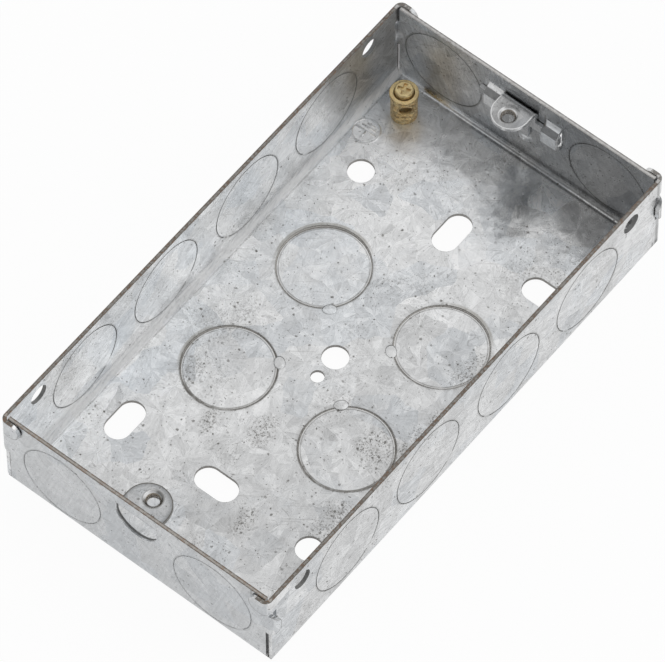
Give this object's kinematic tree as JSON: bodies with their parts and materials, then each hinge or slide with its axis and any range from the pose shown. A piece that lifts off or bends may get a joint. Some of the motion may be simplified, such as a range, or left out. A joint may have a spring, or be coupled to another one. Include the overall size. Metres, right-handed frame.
{
  "type": "two-gang flush back box",
  "caption": "Shallow pressed steel wall box for a flush wiring accessory, with knockouts, fixing slots, a fixed lug, a sliding lug and an earth terminal.",
  "frame": {"origin": "middle of the underside of the base, which is the face that lies against the wall", "axes": "+X along the box from the fixed lug to the sliding lug, +Y across it, +Z out of the open front"},
  "size_m": [0.1342, 0.0742, 0.0255],
  "materials": {
    "galvanised_sheet": "galvanised, spangled, worn",
    "galvanised_lug": "galvanised, worn",
    "terminal_brass": "dull, tarnished",
    "screw_brass": "worn"
  },
  "bodies": {
    "box": {"box_body": "galvanised_sheet", "earth_terminal": "terminal_brass"},
    "sliding_lug": {"adjustable_lug": "galvanised_lug"},
    "clamp_screw": {"terminal_screw": "screw_brass"}
  },
  "joints": [
    {"name": "lug_slide", "type": "slide", "parent": "box", "child": "sliding_lug", "axis": [0, 1, 0], "range_m": [-0.0021, 0.0001]},
    {"name": "screw_travel", "type": "slide", "parent": "box", "child": "clamp_screw", "axis": [0, 0, 1], "range_m": [-0.0033, 0.002]}
  ]
}
